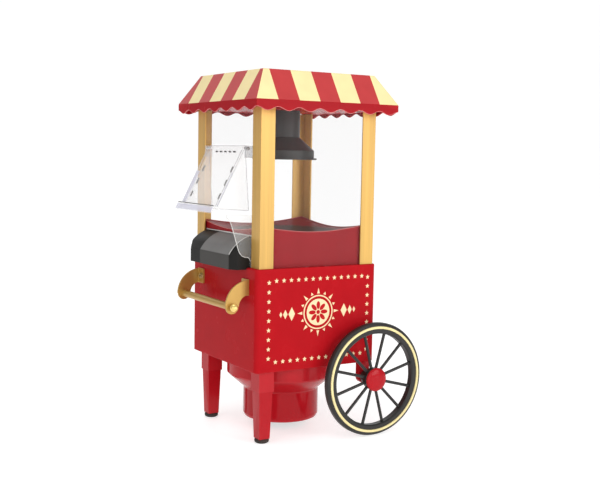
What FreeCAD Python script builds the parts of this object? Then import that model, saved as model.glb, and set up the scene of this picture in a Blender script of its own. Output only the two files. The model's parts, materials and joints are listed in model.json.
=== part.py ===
import FreeCAD, Part
import Sketcher
import math, os

V = FreeCAD.Vector
doc = FreeCAD.newDocument("popcorn_cart")
sheet = doc.addObject("Spreadsheet::Sheet", "dims")


class D:
    """A size: its number and the sheet expression it comes from."""
    def __init__(self, val, ex):
        self.val = float(val)
        self.ex = ex
    def _o(self, other):
        return other if isinstance(other, D) else D(other, repr(float(other)))
    def __add__(self, o):
        o = self._o(o); return D(self.val + o.val, "(%s + %s)" % (self.ex, o.ex))
    def __radd__(self, o):
        return self._o(o) + self
    def __sub__(self, o):
        o = self._o(o); return D(self.val - o.val, "(%s - %s)" % (self.ex, o.ex))
    def __rsub__(self, o):
        return self._o(o) - self
    def __mul__(self, o):
        o = self._o(o); return D(self.val * o.val, "(%s * %s)" % (self.ex, o.ex))
    def __rmul__(self, o):
        return self._o(o) * self
    def __truediv__(self, o):
        o = self._o(o); return D(self.val / o.val, "(%s / %s)" % (self.ex, o.ex))
    def __neg__(self):
        return D(-self.val, "(-1 * %s)" % self.ex)


class Sizes:
    pass


P = Sizes()
_row = [0]


def size(name, value):
    _row[0] += 1
    sheet.set("A%d" % _row[0], name)
    sheet.set("B%d" % _row[0], repr(float(value)))
    sheet.setAlias("B%d" % _row[0], name)
    setattr(P, name, D(value, "dims." + name))


for _n, _v in [
    ("y_shift", -7.0),
    # cabinet
    ("cab_hx", 77.3), ("cab_hy", 76.8), ("cab_bot", 80.0), ("cab_top", 191.0),
    ("cab_wall", 2.4), ("cab_round", 6.0), ("panel_hx", 67.0), ("panel_low", 86.0), ("panel_high", 185.0), ("deck_open", 66.0), ("floor_thick", 2.4),
    # posts and windows
    ("post_out", 74.8), ("post_out_y", 72.8), ("post_leg", 17.9), ("post_leg_y", 17.0), ("post_thick", 1.6), ("post_top", 361.0),
    ("pane_thick", 1.5), ("pane_gap", 0.2), ("pane_half", 69.3), ("pane_half_x", 71.3), ("pane_top", 360.8), ("transom_bot", 322.5),
    # roof
    ("eave_hx", 94.0), ("eave_hy", 89.3), ("eave_z", 367.6), ("crown_hx", 73.4), ("crown_hy", 70.6),
    ("crown_z", 400.0), ("roof_wall", 2.0), ("skirt_low", 356.5), ("skirt_high", 360.3),
    ("boss_x", 60.0), ("boss_y", 56.0), ("boss_rad", 4.0), ("ceil_low", 361.0), ("ceil_high", 363.0),
    # hood
    ("duct_rad", 17.0), ("hood_wall", 1.6), ("duct_low", 331.0), ("bell_rad", 33.6), ("bell_mid", 316.2),
    ("bell_low", 306.0), ("bell_flange", 36.6),
    # funnel and chamber
    ("fun_half", 69.0), ("fun_half_x", 71.0), ("fun_wall", 2.2), ("fun_mid", 228.0), ("fun_slope", 0.245), ("fun_hole", 38.0),
    ("cham_rad", 37.2), ("cham_wall", 1.2), ("cham_bot", 132.0), ("cham_top", 220.4), ("cham_flange_z", 214.0),
    ("sleeve_rad", 46.0), ("sleeve_wall", 1.4),
    # chute and guard
    ("chute_hx", 55.0), ("chute_front", -94.8), ("chute_rear", -69.2), ("chute_low", 189.0),
    ("chute_arc", 41.4), ("chute_arc_y", -58.2), ("chute_arc_z", 184.3), ("chute_wall", 2.0),
    ("chute_cham_x", 8.5), ("chute_cham_y", 6.5), ("guard_x", 55.3), ("guard_thick", 1.3),
    # door
    ("hinge_y", -73.5), ("hinge_z", 317.4), ("door_hx", 44.3), ("door_len", 70.8), ("door_thick", 1.8),
    ("door_top", 3.0), ("wing_u", 57.0), ("wing_w", 34.0), ("lip_out", 4.3), ("lip_drop", 8.5),
    ("pin_rad", 1.5), ("pin_clear", 0.06), ("clip_in", 46.0), ("clip_low", 307.5), ("clip_high", 320.2),
    # handle
    ("arm_x", 59.5), ("arm_thick", 2.2), ("arm_out", 28.0), ("arm_inn", 12.0), ("arm_z", 150.5),
    ("bar_rad", 3.9), ("bar_reach", 20.0), ("lug_rad", 7.4), ("flange_wide", 14.0), ("finial_rad", 4.6), ("tenon_rad", 2.2),
    ("hscrew_rad", 1.6), ("hscrew_head", 3.2),
    # base drum
    ("drum_top_rad", 62.8), ("drum_low_rad", 43.5), ("drum_wall", 2.2), ("drum_bot", 9.7), ("drum_cone_hi", 62.0),
    ("drum_cone_lo", 46.0), ("grille_rad", 31.0),
    # legs, feet
    ("leg_x", 61.0), ("leg_y", -59.2), ("leg_wide", 18.2), ("leg_step", 57.0), ("leg_mid", 16.1), ("leg_end", 12.8),
    ("foot_high", 4.8), ("foot_rad", 8.0), ("foot_base", 6.0),
    # axle and wheels
    ("axle_y", 65.5), ("axle_z", 63.7), ("axle_rad", 4.0), ("axle_clear", 0.06), ("brk_in", 67.0), ("brk_out", 75.0),
    ("brk_half", 6.5), ("wheel_rad", 63.7), ("rim_inner", 51.5), ("wheel_in", 88.0), ("wheel_out", 97.0),
    ("hub_in", 78.6), ("hub_rad", 11.0), ("spoke_rad", 1.7), ("ring_rad", 58.4), ("ring_half", 1.5), ("ring_thick", 0.8),
    ("cap_rad", 13.2), ("cap_high", 4.6), ("axle_end", 98.0),
    # motor and fan
    ("motor_rad", 17.5), ("motor_bot", 42.0), ("plate_low", 82.4), ("plate_thick", 2.0), ("shaft_rad", 1.6),
    ("shaft_clear", 0.06), ("fan_rad", 36.0), ("fan_low", 90.0), ("fan_disc", 1.5), ("blade_high", 11.5),
    ("mica_low", 108.0), ("mica_high", 126.0), ("mica_half", 35.0), ("coil_wire", 1.0),
    # switch and gland
    ("sw_x", -38.0), ("sw_z", 114.0), ("sw_hx", 6.3), ("sw_hz", 9.5), ("gl_x", 38.0), ("gl_z", 98.0), ("gl_bore", 3.25),
]:
    size(_n, _v)

NODES = []
BASE = {}


def put(obj, prop, d):
    if isinstance(d, D):
        obj.setExpression(prop, d.ex)
    else:
        setattr(obj, prop, d)


def place(obj, x, y, z):
    for ax, d in (("x", x), ("y", y), ("z", z)):
        if isinstance(d, D):
            obj.setExpression("Placement.Base." + ax, d.ex)
        else:
            p = obj.Placement
            b = V(p.Base)
            setattr(b, ax, float(d))
            obj.Placement = FreeCAD.Placement(b, p.Rotation)
    BASE[obj.Name] = y


def box(x0, x1, y0, y1, z0, z1, name="blk"):
    o = doc.addObject("Part::Box", name)
    put(o, "Length", D(0, "0") + x1 - x0 if not isinstance(x1, D) and not isinstance(x0, D) else x1 - x0)
    put(o, "Width", D(0, "0") + y1 - y0 if not isinstance(y1, D) and not isinstance(y0, D) else y1 - y0)
    put(o, "Height", D(0, "0") + z1 - z0 if not isinstance(z1, D) and not isinstance(z0, D) else z1 - z0)
    place(o, x0, y0, z0)
    return o


TURN = {"z": FreeCAD.Rotation(), "x": FreeCAD.Rotation(V(0, 1, 0), 90), "y": FreeCAD.Rotation(V(1, 0, 0), -90)}


def cyl(axis, x, y, z, rad, length, name="rod"):
    o = doc.addObject("Part::Cylinder", name)
    put(o, "Radius", rad)
    put(o, "Height", length)
    o.Placement = FreeCAD.Placement(V(0, 0, 0), TURN[axis])
    place(o, x, y, z)
    return o


def cone(x, y, z, ra, rb, length, name="taper"):
    o = doc.addObject("Part::Cone", name)
    put(o, "Radius1", ra)
    put(o, "Radius2", rb)
    put(o, "Height", length)
    place(o, x, y, z)
    return o


def frustum(hx0, hy0, hx1, hy1, z0, z1, name="taper"):
    """Four-sided taper from (hx0, hy0) at z0 to (hx1, hy1) at z1, centred on the axis."""
    o = doc.addObject("Part::Wedge", name)
    o.Placement = FreeCAD.Placement(V(0, 0, 0), FreeCAD.Rotation(V(1, 0, 0), 90))
    for prop, d in (("Xmin", -hx0), ("Xmax", hx0), ("Zmin", -hy0), ("Zmax", hy0), ("X2min", -hx1), ("X2max", hx1),
                    ("Z2min", -hy1), ("Z2max", hy1), ("Ymin", z0), ("Ymax", z1)):
        put(o, prop, d)
    return o


def fuse(objs, name="join"):
    o = doc.addObject("Part::MultiFuse", name)
    o.Shapes = objs
    o.Refine = True
    return o


def common(objs, name="meet"):
    o = doc.addObject("Part::MultiCommon", name)
    o.Shapes = objs
    return o


def cut(base, tools, name="trim"):
    tool = tools[0] if len(tools) == 1 else fuse(tools)
    o = doc.addObject("Part::Cut", name)
    o.Base = base
    o.Tool = tool
    o.Refine = True
    return o


def group(objs, name="set"):
    o = doc.addObject("Part::Compound", name)
    o.Links = objs
    return o


def mirror(src, name="mirror"):
    o = doc.addObject("Part::Mirroring", name)
    o.Source = src
    o.Base = V(0, 0, 0)
    o.Normal = V(1, 0, 0)
    return o


def rounded(hx, hy, z0, z1, r):
    parts = [box(-hx + r, hx - r, -hy, hy, z0, z1), box(-hx, hx, -hy + r, hy - r, z0, z1)]
    for sx in (-1, 1):
        for sy in (-1, 1):
            parts.append(cyl("z", (hx - r) * sx, (hy - r) * sy, z0, r, z1 - z0))
    return fuse(parts)


def origin(body, role):
    return [f for f in body.Origin.OriginFeatures if f.Role == role][0]


def outline(body, plane, pts, off=None):
    sk = body.newObject("Sketcher::SketchObject", "outline")
    sk.AttachmentSupport = [(origin(body, plane), "")]
    sk.MapMode = "FlatFace"
    if off is not None:
        sk.AttachmentOffset = FreeCAD.Placement(V(0, 0, off.val if isinstance(off, D) else off), FreeCAD.Rotation())
        if isinstance(off, D):
            sk.setExpression("AttachmentOffset.Base.z", off.ex)
    num = [tuple(q.val if isinstance(q, D) else float(q) for q in p) for p in pts]
    n = len(pts)
    for i in range(n):
        a, b = num[i], num[(i + 1) % n]
        sk.addGeometry(Part.LineSegment(V(a[0], a[1], 0), V(b[0], b[1], 0)), False)
    for i in range(n):
        sk.addConstraint(Sketcher.Constraint("Coincident", i, 2, (i + 1) % n, 1))
    for i, p in enumerate(pts):
        for kind, d, v, axis in (("DistanceX", p[0], num[i][0], -2), ("DistanceY", p[1], num[i][1], -1)):
            if abs(v) < 1e-9:
                sk.addConstraint(Sketcher.Constraint("PointOnObject", i, 1, axis))
            else:
                k = sk.addConstraint(Sketcher.Constraint(kind, -1, 1, i, 1, v))
                if isinstance(d, D):
                    sk.setExpression("Constraints[%d]" % k, d.ex)
    return sk


def prism(plane, pts, start, length, name="solid"):
    b = doc.addObject("PartDesign::Body", name)
    sk = outline(b, plane, pts, start)
    f = b.newObject("PartDesign::Pad", "pad")
    f.Profile = sk
    put(f, "Length", length)
    return b


def turned(plane, pts, axis, name="turned"):
    b = doc.addObject("PartDesign::Body", name)
    sk = outline(b, plane, pts)
    f = b.newObject("PartDesign::Revolution", "revolve")
    f.Profile = sk
    f.ReferenceAxis = (sk, [axis])
    f.Angle = 360
    return b


def node(obj, label, shift=True):
    obj.Label = label
    if shift:
        y = BASE.get(obj.Name, 0.0)
        obj.setExpression("Placement.Base.y", (P.y_shift + y).ex)
    NODES.append(obj)
    return obj


# ------------------------------------------------------------------ cabinet
shell = rounded(P.cab_hx, P.cab_hy, P.cab_bot, P.cab_top, P.cab_round)
hollow = rounded(P.cab_hx - P.cab_wall, P.cab_hy - P.cab_wall, P.cab_bot - 2, P.cab_top + 2, P.cab_round - P.cab_wall)
px0, px1, pz0, pz1 = -P.panel_hx, P.panel_hx, P.panel_low, P.panel_high
cutouts = [hollow, box(px0, px1, P.cab_hy - 6, P.cab_hy + 6, pz0, pz1)]
for sx in (-1, 1):
    cutouts.append(cyl("y", (P.arm_x - 7.4) * sx, -P.cab_hy - 6, P.arm_z + 20.0, P.hscrew_rad, 16.0))
node(cut(shell, cutouts), "cabinet_shell")
node(cut(box(px0 + 0.15, px1 - 0.15, P.cab_hy - P.cab_wall, P.cab_hy, pz0 + 0.15, pz1 - 0.15),
         [box(P.sw_x - P.sw_hx, P.sw_x + P.sw_hx, P.cab_hy - 6, P.cab_hy + 6, P.sw_z - P.sw_hz, P.sw_z + P.sw_hz),
          cyl("y", P.gl_x, P.cab_hy - 8, P.gl_z, 6.0, 16.0)]), "rear_panel")

deck = rounded(P.cab_hx - P.cab_wall, P.cab_hy - P.cab_wall, P.cab_top - P.cab_wall, P.cab_top, P.cab_round - P.cab_wall)
node(cut(deck, [box(-P.deck_open, P.deck_open, -P.deck_open, P.deck_open, P.cab_top - 6, P.cab_top + 4)]), "cabinet_deck")

floor_plate = rounded(P.cab_hx - P.cab_wall, P.cab_hy - P.cab_wall, P.cab_bot, P.cab_bot + P.floor_thick, P.cab_round - P.cab_wall)
floor_cut = [cyl("z", 0, 0, P.cab_bot - 4, 40.0, 12.0)]
for sx in (-1, 1):
    floor_cut.append(cyl("z", P.leg_x * sx, P.leg_y, P.cab_bot - 4, 1.6, 12.0))
    floor_cut.append(cyl("z", (P.brk_in + 4.0) * sx, P.axle_y - 1.0, P.cab_bot - 4, 1.6, 12.0))
node(cut(floor_plate, floor_cut), "cabinet_floor")

# ------------------------------------------------------------------ posts
a, b, c = P.post_out, P.post_out - P.post_thick, P.post_out - P.post_leg
ay, by, cy = P.post_out_y, P.post_out_y - P.post_thick, P.post_out_y - P.post_leg_y
post_fr = node(prism("XY_Plane", [(c, -ay), (a, -ay), (a, -cy), (b, -cy), (b, -by), (c, -by)], P.cab_top, P.post_top - P.cab_top), "post_front_right")
post_rr = node(prism("XY_Plane", [(c, ay), (c, by), (b, by), (b, cy), (a, cy), (a, ay)], P.cab_top, P.post_top - P.cab_top), "post_rear_right")
node(mirror(post_fr), "post_front_left", False)
node(mirror(post_rr), "post_rear_left", False)

# ------------------------------------------------------------------ clear panes
w1 = P.post_out_y - P.post_thick - P.pane_gap
w0 = w1 - P.pane_thick
v1 = P.post_out - P.post_thick - P.pane_gap
v0 = v1 - P.pane_thick
pane_r = node(box(v0, v1, -P.pane_half, P.pane_half, P.cab_top, P.pane_top), "window_right")
node(mirror(pane_r), "window_left", False)
node(box(-P.pane_half_x, P.pane_half_x, w0, w1, P.cab_top, P.pane_top), "window_rear")
node(box(-P.pane_half_x, P.pane_half_x, -w1, -w0, P.transom_bot, P.pane_top), "front_transom")

# ------------------------------------------------------------------ roof
outer = fuse([box(-P.eave_hx, P.eave_hx, -P.eave_hy, P.eave_hy, P.skirt_low - 1.0, P.eave_z),
              frustum(P.eave_hx, P.eave_hy, P.crown_hx, P.crown_hy, P.eave_z, P.crown_z)])
inner = fuse([box(-P.eave_hx + P.roof_wall, P.eave_hx - P.roof_wall, -P.eave_hy + P.roof_wall, P.eave_hy - P.roof_wall, P.skirt_low - 3.0, P.eave_z - 0.8),
              frustum(P.eave_hx - P.roof_wall, P.eave_hy - P.roof_wall, P.crown_hx - P.roof_wall * 0.7, P.crown_hy - P.roof_wall * 0.7, P.eave_z - 0.8, P.crown_z - P.roof_wall)])
bosses = []
pilots = []
for sx in (-1, 1):
    for sy in (-1, 1):
        bosses.append(cyl("z", P.boss_x * sx, P.boss_y * sy, P.ceil_high, P.boss_rad, P.crown_z - 1.0 - P.ceil_high))
        pilots.append(cyl("z", P.boss_x * sx, P.boss_y * sy, P.ceil_high - 1.0, 1.4, 11.0))


def wave(half, along, near, far_out):
    """Solid below a seven-fold scalloped line, through one side of the skirt."""
    lo, hi = P.skirt_low.val, P.skirt_high.val
    pitch = 2.0 * half / 7.0
    pts = []
    n = 112
    for i in range(-4, n + 5):
        s = -half + 2.0 * half * i / n
        zz = 0.5 * (lo + hi) - 0.5 * (hi - lo) * math.cos(2.0 * math.pi * s / pitch)
        pts.append(V(s, near, zz) if along == "x" else V(near, s, zz))
    curve = Part.BSplineCurve()
    curve.interpolate(pts)
    e = curve.toShape()
    a0, a1 = pts[0], pts[-1]
    low0, low1 = V(a0.x, a0.y, lo - 4.0), V(a1.x, a1.y, lo - 4.0)
    wire = Part.Wire([e, Part.LineSegment(a1, low1).toShape(), Part.LineSegment(low1, low0).toShape(), Part.LineSegment(low0, a0).toShape()])
    face = Part.Face(wire)
    d = V(0, far_out - near, 0) if along == "x" else V(far_out - near, 0, 0)
    solid = face.extrude(d)
    if solid.Volume < 0:
        solid.reverse()
    o = doc.addObject("Part::Feature", "wave")
    o.Shape = solid
    return o


roof = cut(fuse([cut(outer, [inner])] + bosses), pilots)
for sgn in (-1.0, 1.0):
    roof = cut(roof, [wave(P.eave_hx.val, "x", sgn * (P.eave_hy.val - P.roof_wall.val - 0.6), sgn * (P.eave_hy.val + 4.0))])
    roof = cut(roof, [wave(P.eave_hy.val, "y", sgn * (P.eave_hx.val - P.roof_wall.val - 0.6), sgn * (P.eave_hx.val + 4.0))])
node(roof, "roof_canopy")

ceiling = box(-P.eave_hx + P.roof_wall + 0.2, P.eave_hx - P.roof_wall - 0.2, -P.eave_hy + P.roof_wall + 0.2, P.eave_hy - P.roof_wall - 0.2, P.ceil_low, P.ceil_high)
ceil_cut = [cyl("z", 0, 0, P.ceil_low - 2.0, P.duct_rad, 8.0)]
for sx in (-1, 1):
    for sy in (-1, 1):
        ceil_cut.append(cyl("z", P.boss_x * sx, P.boss_y * sy, P.ceil_low - 2.0, 1.5, 8.0))
node(cut(ceiling, ceil_cut), "ceiling_panel")

screws = []
for sx in (-1, 1):
    for sy in (-1, 1):
        screws.append(fuse([cyl("z", P.boss_x * sx, P.boss_y * sy, P.ceil_low - 1.4, 2.8, 1.4),
                            cyl("z", P.boss_x * sx, P.boss_y * sy, P.ceil_low, 1.4, 9.0)]))
node(group(screws), "roof_screws")

# ------------------------------------------------------------------ hood
r0, r1 = P.duct_rad - P.hood_wall, P.duct_rad
node(turned("XZ_Plane", [(r0, P.duct_low), (r1, P.duct_low), (r1, P.ceil_high), (r1 + 5.0, P.ceil_high), (r1 + 5.0, P.ceil_high + 1.6),
                         (r0, P.ceil_high + 1.6)], "V_Axis"), "hood_duct")
t = P.hood_wall
node(turned("XZ_Plane", [(r0, P.duct_low), (P.bell_rad - t, P.bell_mid), (P.bell_rad - t, P.bell_low), (P.bell_flange, P.bell_low),
                         (P.bell_flange, P.bell_low + 1.8), (P.bell_rad, P.bell_low + 1.8), (P.bell_rad, P.bell_mid), (r1, P.duct_low)], "V_Axis"), "hood_bell")

# ------------------------------------------------------------------ funnel
rim_top = P.fun_mid + P.fun_slope * 40.0
low_z = P.fun_mid - P.fun_slope * (P.fun_half - P.fun_hole)
far = 118.0
blk = box(-P.fun_half_x, P.fun_half_x, -P.fun_half, P.fun_half, P.cab_top, rim_top)
dish = cone(0, 0, low_z, P.fun_hole, far, P.fun_slope * (far - P.fun_hole))
dish_hole = cyl("z", 0, 0, P.cab_top - 2.0, P.fun_hole, 60.0)
void = cut(box(-P.fun_half_x + P.fun_wall, P.fun_half_x - P.fun_wall, -P.fun_half + P.fun_wall, P.fun_half - P.fun_wall, P.cab_top - 1.0, rim_top),
           [cone(0, 0, low_z - 2.6, P.fun_hole, far, P.fun_slope * (far - P.fun_hole)),
            box(-P.fun_half_x, P.fun_half_x, -P.fun_half, P.fun_half, low_z - 2.6 + P.fun_slope * (far - P.fun_hole), rim_top + 1.0)])
node(cut(blk, [void, dish, dish_hole]), "popping_funnel")

# ------------------------------------------------------------------ popping chamber and heater
ro, ri = P.cham_rad, P.cham_rad - P.cham_wall
node(turned("XZ_Plane", [(ri, P.cham_bot + 1.0), (ro, P.cham_bot + 1.0), (ro, P.cham_top), (ri, P.cham_top)], "V_Axis"), "popping_chamber")
pan = turned("XZ_Plane", [(0, P.cham_bot + 5.0), (16.0, P.cham_bot), (ro, P.cham_bot), (ro, P.cham_bot + 1.0), (16.2, P.cham_bot + 1.0), (0, P.cham_bot + 6.0)], "V_Axis")
louvres = []
for i in range(16):
    o = box(P.cham_rad - 16.0, P.cham_rad - 5.0, -0.9, 0.9, P.cham_bot - 3.0, P.cham_bot + 8.0)
    o.Placement = FreeCAD.Placement(V(0, 0, 0), FreeCAD.Rotation(V(0, 0, 1), 22.5 * i))
    ang = math.radians(22.5 * i)
    ca, sa = math.cos(ang), math.sin(ang)
    place(o, (P.cham_rad - 16.0) * ca + 0.9 * sa, (P.cham_rad - 16.0) * sa - 0.9 * ca, P.cham_bot - 3.0)
    louvres.append(o)
node(cut(pan, louvres), "chamber_base")
so, si = P.sleeve_rad, P.sleeve_rad - P.sleeve_wall
node(turned("XZ_Plane", [(si, P.cab_bot + P.floor_thick), (so, P.cab_bot + P.floor_thick), (so, P.cham_flange_z), (ro, P.cham_flange_z),
                         (ro, P.cham_flange_z - 1.2), (si, P.cham_flange_z - 1.2)], "V_Axis"), "heater_sleeve")

mica = fuse([box(-P.mica_half, P.mica_half, -0.4, 0.4, P.mica_low, P.mica_high), box(-0.4, 0.4, -P.mica_half, P.mica_half, P.mica_low, P.mica_high),
             cut(cyl("z", 0, 0, P.mica_low, P.mica_half + 9.4, 1.2), [cyl("z", 0, 0, P.mica_low - 1.0, P.mica_half - 1.0, 4.0)])])
node(mica, "heater_frame")


def ring(rad, wire, z):
    o = doc.addObject("Part::Torus", "turn")
    put(o, "Radius1", rad)
    put(o, "Radius2", wire)
    place(o, 0, 0, z)
    return o


zc = P.mica_high + P.coil_wire
node(fuse([ring(16.0, P.coil_wire, zc), ring(23.0, P.coil_wire, zc), ring(30.0, P.coil_wire, zc),
           cyl("x", 16.0, 0, zc, P.coil_wire * 0.8, 7.0), cyl("x", -30.0, 0, zc, P.coil_wire * 0.8, 7.0)]), "heating_coil")
node(fuse([cyl("x", P.sleeve_rad, 0, 150.0, 6.0, 7.0), cyl("x", P.sleeve_rad + 7.0, 0, 150.0, 3.2, 2.0)]), "thermostat")
node(cyl("z", 0, P.sleeve_rad + 2.0, 146.0, 2.0, 13.0), "thermal_fuse")

# ------------------------------------------------------------------ motor and fan
pt = P.plate_low + P.plate_thick
mplate = cyl("z", 0, 0, P.plate_low, si - 0.3, P.plate_thick)
vents = [cyl("z", 0, 0, P.plate_low - 2.0, 4.0, 8.0)]
for i in range(8):
    ang = math.radians(45.0 * i)
    vents.append(cyl("z", 30.0 * math.cos(ang), 30.0 * math.sin(ang), P.plate_low - 2.0, 7.5, 8.0))
node(cut(mplate, vents), "motor_plate")
node(cut(fuse([cyl("z", 0, 0, P.motor_bot, P.motor_rad, P.plate_low - P.motor_bot), cyl("z", 0, 0, P.plate_low, 3.8, 3.0)]),
         [cyl("z", 0, 0, P.plate_low - 20.0, P.shaft_rad + P.shaft_clear, 30.0)]), "motor")
node(cyl("z", 0, 0, P.plate_low - 19.0, P.shaft_rad, P.fan_low + P.fan_disc + P.blade_high - P.plate_low + 20.0), "motor_shaft")
fan = [cyl("z", 0, 0, P.fan_low, P.fan_rad, P.fan_disc), cyl("z", 0, 0, P.fan_low - 2.0, 5.0, P.fan_disc + P.blade_high)]
for i in range(10):
    ang = math.radians(36.0 * i)
    o = box(0.0, 1.4, 0.0, P.fan_rad - 4.0, 0.0, P.blade_high)
    o.Placement = FreeCAD.Placement(V(0, 0, 0), FreeCAD.Rotation(V(0, 0, 1), 36.0 * i))
    place(o, -4.0 * math.sin(ang), 4.0 * math.cos(ang), P.fan_low + P.fan_disc)
    fan.append(o)
node(cut(common([fuse(fan), cyl("z", 0, 0, P.fan_low - 4.0, P.fan_rad, 30.0)]), [cyl("z", 0, 0, P.fan_low - 6.0, P.shaft_rad, 40.0)]), "fan_impeller")
node(box(-15.0, 15.0, -11.0, 11.0, P.motor_bot - 1.6, P.motor_bot), "rectifier_board")

# ------------------------------------------------------------------ base drum
tw = P.drum_wall
Ra, Rb = P.drum_top_rad, P.drum_low_rad
node(turned("XZ_Plane", [(Ra, P.cab_bot), (Ra, P.drum_cone_hi), (Ra - 1.6, P.drum_cone_hi - 2.0), (Rb + 1.4, P.drum_cone_lo), (Rb, P.drum_cone_lo - 2.0), (Rb, P.drum_bot + 4.5),
                         (Rb - 1.4, P.drum_bot + 1.4), (Rb - 4.5, P.drum_bot), (P.grille_rad, P.drum_bot), (P.grille_rad, P.drum_bot + tw),
                         (Rb - 4.5, P.drum_bot + tw), (Rb - tw, P.drum_bot + 5.5), (Rb - tw, P.drum_cone_lo - 1.0), (Rb - tw + 1.4, P.drum_cone_lo + 1.6),
                         (Ra - tw - 1.2, P.drum_cone_hi - 0.8), (Ra - tw, P.drum_cone_hi + 1.0), (Ra - tw, P.cab_bot)], "V_Axis"), "base_drum")
gz, gt = P.drum_bot, P.drum_wall
bars = [cut(cyl("z", 0, 0, gz, P.grille_rad, gt), [cyl("z", 0, 0, gz - 2.0, P.grille_rad - 3.0, 8.0)])]
for rr in (21.0, 13.0):
    bars.append(cut(cyl("z", 0, 0, gz, rr + 1.2, gt), [cyl("z", 0, 0, gz - 2.0, rr - 1.2, 8.0)]))
bars.append(cyl("z", 0, 0, gz, 6.0, gt))
bars.append(box(-P.grille_rad + 1.0, P.grille_rad - 1.0, -1.2, 1.2, gz, gz + gt))
bars.append(box(-1.2, 1.2, -P.grille_rad + 1.0, P.grille_rad - 1.0, gz, gz + gt))
node(fuse(bars), "intake_grille")

# ------------------------------------------------------------------ front legs and feet
h = P.leg_wide * 0.5
stem = frustum(P.leg_end * 0.5, P.leg_end * 0.5, P.leg_mid * 0.5, P.leg_mid * 0.5, P.foot_high, P.leg_step)
stem.setExpression("Placement.Base.x", P.leg_x.ex)
stem.setExpression("Placement.Base.y", P.leg_y.ex)
leg_r = node(cut(fuse([box(P.leg_x - h, P.leg_x + h, P.leg_y - h, P.leg_y + h, P.leg_step, P.cab_bot), stem]),
                 [cyl("z", P.leg_x, P.leg_y, P.cab_bot - 14.0, 1.4, 16.0)]), "front_leg_right")
node(mirror(leg_r), "front_leg_left", False)


def foot(x):
    o = turned("XZ_Plane", [(0, 0), (P.foot_base, 0), (P.foot_rad - 0.4, 1.0), (P.foot_rad, 2.2), (P.foot_rad, P.foot_high - 1.2),
                            (P.foot_rad - 0.8, P.foot_high), (0, P.foot_high)], "V_Axis")
    o.setExpression("Placement.Base.x", x.ex)
    BASE[o.Name] = P.leg_y
    return o


node(foot(P.leg_x), "foot_right")
node(foot(-P.leg_x), "foot_left")

# ------------------------------------------------------------------ axle, brackets, wheels
bx = P.brk_out - P.brk_in
brk = cut(fuse([box(P.brk_in, P.brk_out, P.axle_y - P.brk_half, P.axle_y + P.brk_half, P.axle_z - 2.0, P.cab_bot),
                cyl("x", P.brk_in, P.axle_y, P.axle_z - 2.0, P.brk_half, bx)]),
          [cyl("x", P.brk_in - 4.0, P.axle_y, P.axle_z, P.axle_rad, bx + 8.0), cyl("z", P.brk_in + 4.0, P.axle_y - 1.0, P.cab_bot - 8.0, 1.4, 12.0)])
brk_r = node(brk, "axle_bracket_right")
node(mirror(brk_r), "axle_bracket_left", False)
stub = cyl("x", P.brk_in - 2.0, P.axle_y, P.axle_z, P.axle_rad, P.axle_end - P.brk_in + 2.0)
node(group([stub, mirror(stub)]), "stub_axles")

bore = P.axle_rad + P.axle_clear


def wheel():
    b = doc.addObject("PartDesign::Body", "wheel")
    sk = outline(b, "XZ_Plane", [(P.hub_in, bore), (P.wheel_out + 0.2, bore), (P.wheel_out + 0.2, P.hub_rad - 0.5), (P.wheel_out - 1.5, P.hub_rad + 1.5),
                                 (P.wheel_in + 1.5, P.hub_rad + 1.5), (P.wheel_in - 1.0, P.hub_rad - 2.0), (P.hub_in, P.hub_rad - 3.0)])
    f = b.newObject("PartDesign::Revolution", "hub")
    f.Profile = sk
    f.ReferenceAxis = (sk, ["H_Axis"])
    f.Angle = 360
    doc.recompute()
    sp = b.newObject("PartDesign::AdditiveCylinder", "spoke")
    sp.AttachmentSupport = [(origin(b, "XY_Plane"), "")]
    sp.MapMode = "FlatFace"
    put(sp, "Radius", P.spoke_rad)
    sp.setExpression("Height", (P.rim_inner - P.hub_rad + 2.0).ex)
    sp.setExpression("AttachmentOffset.Base.x", ((P.wheel_in + P.wheel_out) * 0.5).ex)
    sp.setExpression("AttachmentOffset.Base.z", (P.hub_rad - 0.5).ex)
    doc.recompute()
    pat = b.newObject("PartDesign::PolarPattern", "spokes")
    pat.Originals = [sp]
    pat.Axis = (origin(b, "X_Axis"), [""])
    pat.Angle = 360
    pat.Occurrences = 12
    b.Tip = pat
    doc.recompute()
    i, o, R, r = P.wheel_in, P.wheel_out, P.wheel_rad, P.rim_inner
    sk2 = outline(b, "XZ_Plane", [(i + 1.2, r), (o - 1.2, r), (o, r + 1.4), (o, R - 2.6), (o - 1.0, R - 0.8), (o - 2.6, R), (i + 2.6, R), (i + 1.0, R - 0.8), (i, R - 2.6), (i, r + 1.4)])
    f2 = b.newObject("PartDesign::Revolution", "rim")
    f2.Profile = sk2
    f2.ReferenceAxis = (sk2, ["H_Axis"])
    f2.Angle = 360
    b.Tip = f2
    b.Placement = FreeCAD.Placement(V(0, 0, 0), FreeCAD.Rotation(V(1, 0, 0), 15.0))
    b.setExpression("Placement.Base.z", P.axle_z.ex)
    BASE[b.Name] = P.axle_y
    return b


def on_axle(b):
    b.setExpression("Placement.Base.z", P.axle_z.ex)
    BASE[b.Name] = P.axle_y
    return b


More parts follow.
